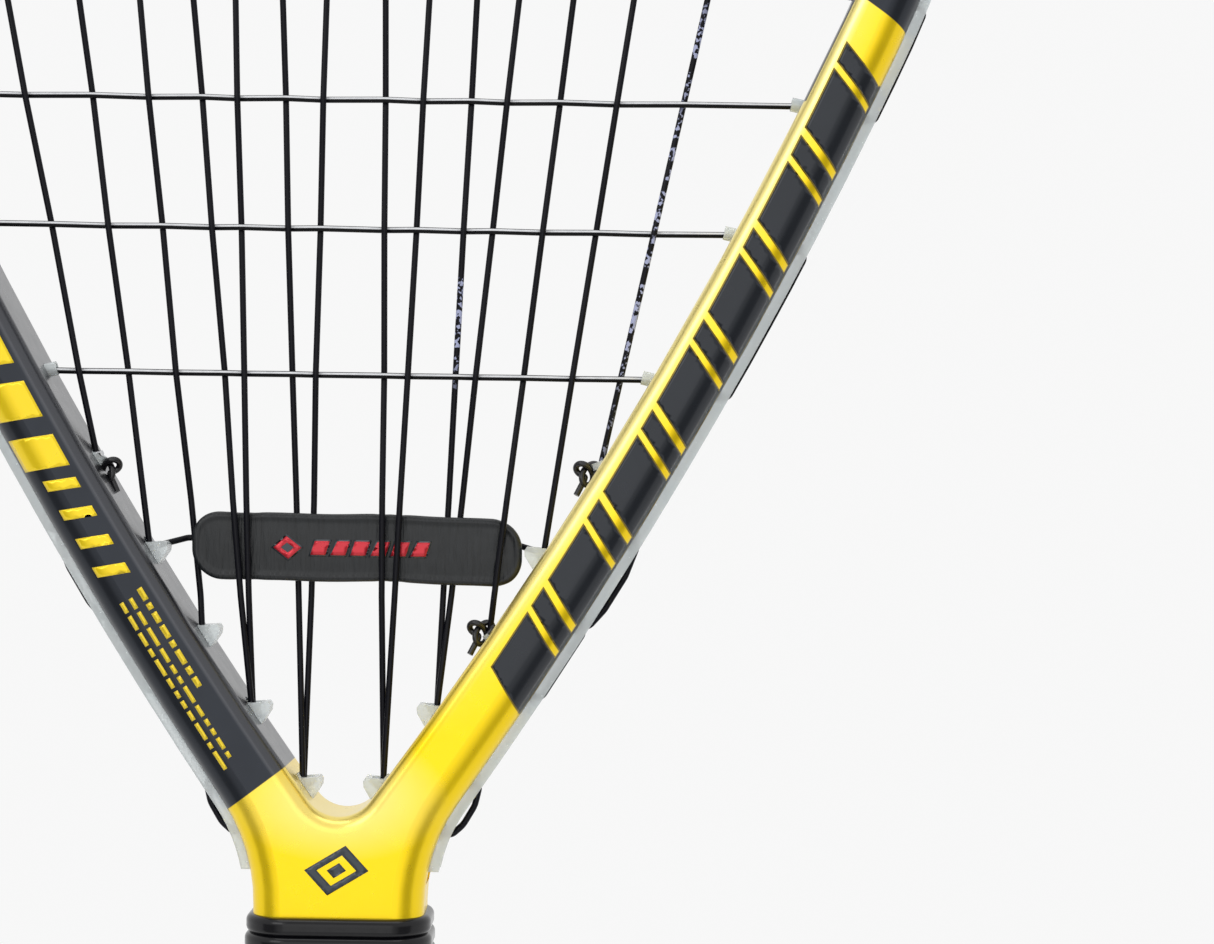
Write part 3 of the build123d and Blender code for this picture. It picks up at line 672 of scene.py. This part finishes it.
def wound_wrap():
    """The grip: one strip wound in a spiral over an octagonal handle, each turn lapping the last."""
    low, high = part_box("grip_wrap")
    _, core_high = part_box("pallet_front")
    half_x, half_y = high.x - GRIP_SKIN, high.y - GRIP_SKIN
    corners = octagon_points(half_x, half_y, OCTAGON_BEVEL, AROUND)
    mesh = bmesh.new()
    rings = []
    for row in range(ROWS + 1):
        z = low.z + (high.z - low.z) * row / ROWS
        end = min(1.0, row / END_ROWS, (ROWS - row) / END_ROWS)
        ring = []
        for i, (x, y) in enumerate(corners):
            turn = (z / GRIP_PITCH + i / AROUND) % 1.0
            if turn < LIP_RISE:
                lip = GRIP_LAP * (0.15 + 0.85 * turn / LIP_RISE)
            else:
                lip = GRIP_LAP * (1.0 - 0.42 * turn)
            inset = GRIP_LAP - lip + (1 - math.sqrt(end)) * 0.5 * MM
            shrink = 1 - inset / math.hypot(x, y)
            ring.append(mesh.verts.new((x * shrink, y * shrink, z)))
        rings.append(ring)
    bore = 0.985 * (core_high.x + 0.15 * MM) / half_x
    inner = [[mesh.verts.new((x * bore, y * bore, z)) for x, y in corners] for z in (high.z, low.z)]
    stack = rings + inner + [rings[0]]
    for below, above in zip(stack[:-1], stack[1:]):
        for i in range(AROUND):
            j = (i + 1) % AROUND
            mesh.faces.new((below[i], below[j], above[j], above[i]))
    piece = new_piece("spiral_grip", outward("spiral_grip", mesh), wound_grip())
    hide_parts("grip_wrap")


def octagon_points(half_x, half_y, bevel, count):
    """Evenly spaced points round a soft-cornered octagon."""
    corners = [(half_x, -half_y + bevel), (half_x, half_y - bevel), (half_x - bevel, half_y),
               (-half_x + bevel, half_y), (-half_x, half_y - bevel), (-half_x, -half_y + bevel),
               (-half_x + bevel, -half_y), (half_x - bevel, -half_y)]
    sides = list(zip(corners, corners[1:] + corners[:1]))
    total = sum(math.dist(a, b) for a, b in sides)
    points = []
    for i in range(count):
        reach = total * i / count
        for a, b in sides:
            length = math.dist(a, b)
            if reach <= length:
                part = reach / length
                points.append((a[0] + (b[0] - a[0]) * part, a[1] + (b[1] - a[1]) * part))
                break
            reach -= length
    for _ in range(2):
        points = [((p[0] + q[0] * 2 + r[0]) / 4, (p[1] + q[1] * 2 + r[1]) / 4)
                  for p, q, r in zip(points[-1:] + points[:-1], points, points[1:] + points[:1])]
    return points


# ---- dampener bar and knots -------------------------------------------------------

BAR_HALF_X, BAR_HALF_Z = 33.0 * MM, 6.8 * MM
BAR_CORNER = 5.8 * MM
BAR_ROLL = math.radians(0.94)
# String lines that press on the bar's front, as x from its middle, and how wide each dent is
STRINGS_OVER_BAR = [x * MM for x in (-23.4, -20.4, 5.2, 8.4, 29.3)]
DENT_WIDTH = 1.3 * MM
# The bar's face, in millimetres: inset from the outline, and depth behind the front face
BAR_PROFILE = ((0.12, 0.45), (0.42, 0.18), (0.85, 0.02), (1.15, 0.04),
               (1.5, 0.24), (2.2, 0.22), (3.6, 0.10), (5.2, 0.02))


def soft_bar():
    """The dampener bar, pinched a little where strings press on it, with a raised border."""
    low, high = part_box("dampener_bar")
    middle = (low + high) / 2
    half_y = (high.y - low.y) / 2 - 0.1 * MM
    outline = round_box(BAR_HALF_X, BAR_HALF_Z, BAR_CORNER, 14, 66)

    def placed(x, z, y):
        wave = 0.22 * MM * math.sin(x / (9.5 * MM) + 0.6) + 0.10 * MM * math.sin(x / (3.4 * MM))
        edge = abs(z) / BAR_HALF_Z
        dent = sum(math.exp(-((x - press) / DENT_WIDTH) ** 2) for press in STRINGS_OVER_BAR)
        z = z * (1 - 0.018 * dent * edge) + wave * edge
        if y < 0:
            y += 0.14 * MM * dent
        turned = Vector((x * math.cos(BAR_ROLL) - z * math.sin(BAR_ROLL), y,
                         x * math.sin(BAR_ROLL) * -1 + z * math.cos(BAR_ROLL)))
        return turned + middle

    mesh = bmesh.new()
    waist = None
    for face in (FRONT, BACK):
        rings = []
        for inset, depth in ((0.0, half_y / MM), *BAR_PROFILE):
            y = face * (half_y - depth * MM)
            rings.append([mesh.verts.new(placed(x - nx * inset * MM, z - nz * inset * MM, y))
                          for x, z, nx, nz in outline])
        waist = waist or rings[0]
        rings[0] = waist
        for outer, inner in zip(rings[:-1], rings[1:]):
            for i in range(len(outline)):
                j = (i + 1) % len(outline)
                mesh.faces.new((outer[i], outer[j], inner[j], inner[i]))
        mesh.faces.new(rings[-1])
    # The back's own waist ring is left over, since both faces share the front's.
    loose = [corner for corner in mesh.verts if not corner.link_faces]
    bmesh.ops.delete(mesh, geom=loose, context="VERTS")
    caps = [face for face in mesh.faces if len(face.verts) > 4]
    bmesh.ops.triangulate(mesh, faces=caps)
    piece = new_piece("soft_bar", outward("soft_bar", mesh), bar_rubber())
    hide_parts("dampener_bar")
    return piece


def round_box(half_x, half_z, corner, per_corner, per_side):
    """Points round a rectangle with round corners, as (x, z, outward x, outward z)."""
    points = []
    centres = [(half_x - corner, half_z - corner), (-half_x + corner, half_z - corner),
               (-half_x + corner, -half_z + corner), (half_x - corner, -half_z + corner)]
    for quarter, (cx, cz) in enumerate(centres):
        start = math.pi / 2 * quarter
        for i in range(per_corner + 1):
            turn = start + math.pi / 2 * i / per_corner
            nx, nz = math.cos(turn), math.sin(turn)
            points.append((cx + corner * nx, cz + corner * nz, nx, nz))
        count = per_side if quarter in (0, 2) else 6
        nx, nz = math.cos(start + math.pi / 2), math.sin(start + math.pi / 2)
        after = centres[(quarter + 1) % 4]
        for i in range(1, count):
            part = i / count
            x = cx + (after[0] - cx) * part
            z = cz + (after[1] - cz) * part
            points.append((x + corner * nx, z + corner * nz, nx, nz))
    return points


STRING_RADIUS = 0.625 * MM
# Each knot's CAD node, the side it turns to, and its shift in x and z, in millimetres
KNOTS = (("knot_left_upper", -1, (-0.8, -2.4)), ("knot_right_upper", 1, (0.7, -2.2)),
         ("knot_right_lower", 1, (1.8, 0.2)))
KNOT_TOP = 2.2              # from the top of the CAD node down to the knot's middle
KNOT_SIZE, KNOT_DEPTH = 0.86, 0.82
KNOT_POINTS = 30
TAIL_REACHES = (1.3, 2.8, 4.3)


def tied_knot(node_name, side, shift):
    """An overhand knot drawn tight beside its hole, with a short cut tail."""
    low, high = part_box(node_name)
    middle = (low + high) / 2
    centre = Vector((middle.x + shift[0] * MM, middle.y, high.z + (shift[1] - KNOT_TOP) * MM))
    points = []
    for i in range(KNOT_POINTS):
        turn = math.pi * (0.12 + 1.86 * i / (KNOT_POINTS - 1))
        a = (math.sin(turn) + 2 * math.sin(2 * turn)) * KNOT_SIZE
        b = (math.cos(turn) - 2 * math.cos(2 * turn)) * KNOT_SIZE
        c = -math.sin(3 * turn) * KNOT_DEPTH
        points.append(centre + Vector((side * a, c, b)) * MM)
    tail = points[-1]
    drop = Vector((-side * 0.5, -0.25, -1.0)).normalized()
    points += [tail + drop * reach * MM for reach in TAIL_REACHES]
    curve = bpy.data.curves.new(node_name + "_tied", "CURVE")
    curve.dimensions = "3D"
    curve.bevel_depth = STRING_RADIUS
    curve.bevel_resolution = 5
    curve.use_fill_caps = True
    spline = curve.splines.new("NURBS")
    spline.points.add(len(points) - 1)
    for point, place in zip(spline.points, points):
        point.co = (*place, 1.0)
    spline.order_u = 4
    spline.use_endpoint_u = True
    spline.resolution_u = 4
    gloss = string_material(node_name + "_gloss", BLACK, 0.6)
    piece = new_piece(node_name + "_tied", curve, gloss)
    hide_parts(node_name)


# ---- build ----------------------------------------------------------------------

dress("frame", frame_paint())
for strip in ("grommet_strip_left", "grommet_strip_right"):
    dress(strip, clear_nylon(strip + "_nylon"))
dress("bumper_guard", bumper_nylon())
dress("main_string", string_material("main_string_gloss", STRING_BLACK, printed=PRINTED))
dress("cross_string", cross_material())
for knot, side, shift in KNOTS:
    tied_knot(knot, side, shift)
bar = soft_bar()
dress("grip_collar", gloss_rubber("collar_rubber", BLACK, 0.14, 0.7))
dress("finishing_tape", plain_plastic("finishing_tape_vinyl", (0.012, 0.012, 0.014), 0.35, 0.6))
dress("butt_cap", plain_plastic("butt_cap_plastic", (0.014, 0.014, 0.016), 0.5))
dress("butt_badge", plain_plastic("butt_badge_plastic", (0.75, 0.55, 0.01), 0.3))
dress("butt_cap_staples", steel())
for pallet in ("pallet_front", "pallet_back", "shaft_plug"):
    dress(pallet, pallet_foam())
wound_wrap()

frame_surface = surface_of_mesh(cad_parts["frame"].data)
charcoal = lacquer("charcoal_print", CHARCOAL_PRINT, 0.35).material
outline_paint = lacquer("outline_print", DEEP_YELLOW).material
yellow = lacquer("yellow_print", YELLOW).material
fine_yellow = lacquer("fine_yellow_print", FINE_YELLOW).material
slate = lacquer("slate_print", SLATE).material
red = lacquer("red_print", RED).material

blocks = right_blocks()
block_edges = [(grown(outline, BLOCK_BORDER),) for (outline,) in blocks]
for suffix, face in SIDES:
    transfer("right_arm_outline" + suffix, block_edges, on_arm(1), frame_surface, outline_paint,
             EDGE_LIFT, face)
    transfer("right_arm_blocks" + suffix, blocks, on_arm(1), frame_surface, charcoal,
             BLOCK_LIFT, face)
for suffix, face in SIDES:
    transfer("left_arm_bars" + suffix, left_bars(), on_arm(-1), frame_surface, yellow,
             DECAL_LIFT, face)
transfer("left_arm_tiles", left_tiles(), on_arm(-1), frame_surface, yellow)
transfer("left_arm_rules", left_rules(), on_arm(-1), frame_surface, fine_yellow)
transfer("throat_emblem", emblem(), racket_plane, frame_surface, slate)
bar_surface = surface_of_mesh(bar.data)
mark_edges = [(grown(outline, BAR_MARK_BORDER),) for outline, *_ in bar_marks()]
transfer("bar_marks_edge", mark_edges, racket_plane, bar_surface, slate, BAR_EDGE_LIFT)
transfer("bar_marks", bar_marks(), racket_plane, bar_surface, red, BAR_MARK_LIFT)


# ---- stage ----------------------------------------------------------------------

# Brightness of the white tent, and of the paper that the lens sees behind the racket
TENT, PAPER = 0.86, 0.935
# The dark flags that the lacquer mirrors: how dark they are, how far forward they stand and their
# half width, how far to the side they start, and how high they reach, the last four as cosines
FLAG_DARK = 0.66
FLAG_TURN, FLAG_WIDTH, FLAG_SIDE, FLAG_TOP = 0.60, 0.32, 0.3, 0.18
FLOOR_RADIUS = 0.27


def make_floor():
    """A pale disc under the racket."""
    bpy.ops.mesh.primitive_circle_add(vertices=96, radius=FLOOR_RADIUS, fill_type="NGON",
                                      location=(0, 0, -0.0002))
    floor = bpy.context.object
    floor.name = "floor"
    paint = Paint("floor_paper", (0.86, 0.86, 0.86), 0.9)
    floor.data.materials.append(paint.material)


def make_world():
    """A soft white tent: the lens sees plain pale paper, and the racket a dark flag at each side."""
    world = bpy.data.worlds.new("studio")
    bpy.context.scene.world = world
    world.use_nodes = True
    wiring = Wiring(world.node_tree)
    nodes = wiring.tree.nodes
    x, y, z = wiring.parts(nodes.new("ShaderNodeTexCoord").outputs["Generated"])
    off_centre = (y + FLAG_TURN).maths("ABSOLUTE")
    flag = (off_centre * -1 + FLAG_WIDTH).maths("MAXIMUM", 0.0).maths("SMOOTH_MIN", 0.2, 0.05)
    sideways = (x.maths("ABSOLUTE") - FLAG_SIDE).maths("MAXIMUM", 0.0)
    below = ((z * -1 + FLAG_TOP) * 5.0).clamped()
    shade = (flag * 5.0 * (sideways * 4.0)).maths("MINIMUM", 1.0) * below
    level = (shade * -FLAG_DARK + 1.0) * TENT
    lens = Field(wiring, nodes.new("ShaderNodeLightPath").outputs["Is Camera Ray"])
    background = nodes["Background"]
    background.inputs["Color"].default_value = (1.0, 1.0, 1.0, 1.0)
    wiring.feed(background.inputs["Strength"], lens * PAPER + (lens * -1 + 1.0) * level)


def area_light(name, place, target, size, power):
    """A rectangular softbox at place that faces target."""
    data = bpy.data.lights.new(name, "AREA")
    data.shape = "RECTANGLE"
    data.size, data.size_y = size
    data.energy = power
    light = bpy.data.objects.new(name, data)
    bpy.context.scene.collection.objects.link(light)
    light.location = place
    light.rotation_euler = (Vector(target) - Vector(place)).to_track_quat("-Z", "Y").to_euler()


def make_camera():
    """The lens looks level along +Y, rolled a little, at the lower right of the string bed."""
    data = bpy.data.cameras.new("camera")
    data.sensor_width = 36.0
    data.lens = 77.1
    data.clip_start, data.clip_end = 0.01, 20.0
    camera = bpy.data.objects.new("camera", data)
    bpy.context.scene.collection.objects.link(camera)
    camera.location = (0.0517, -0.520, 0.2665)
    camera.rotation_euler = (math.radians(90), math.radians(-0.94), 0)
    bpy.context.scene.camera = camera


make_floor()
make_world()
middle = (0.05, 0.0, 0.27)
area_light("front_softbox", (0.05, -1.75, 0.45), middle, (1.3, 1.3), 3.0)
area_light("key_softbox", (-0.75, -1.10, 1.0), middle, (0.7, 0.7), 3.0)
area_light("top_softbox", (0.05, -0.10, 1.7), middle, (1.4, 0.9), 5.0)
make_camera()
bpy.context.scene.view_settings.view_transform = "Standard"
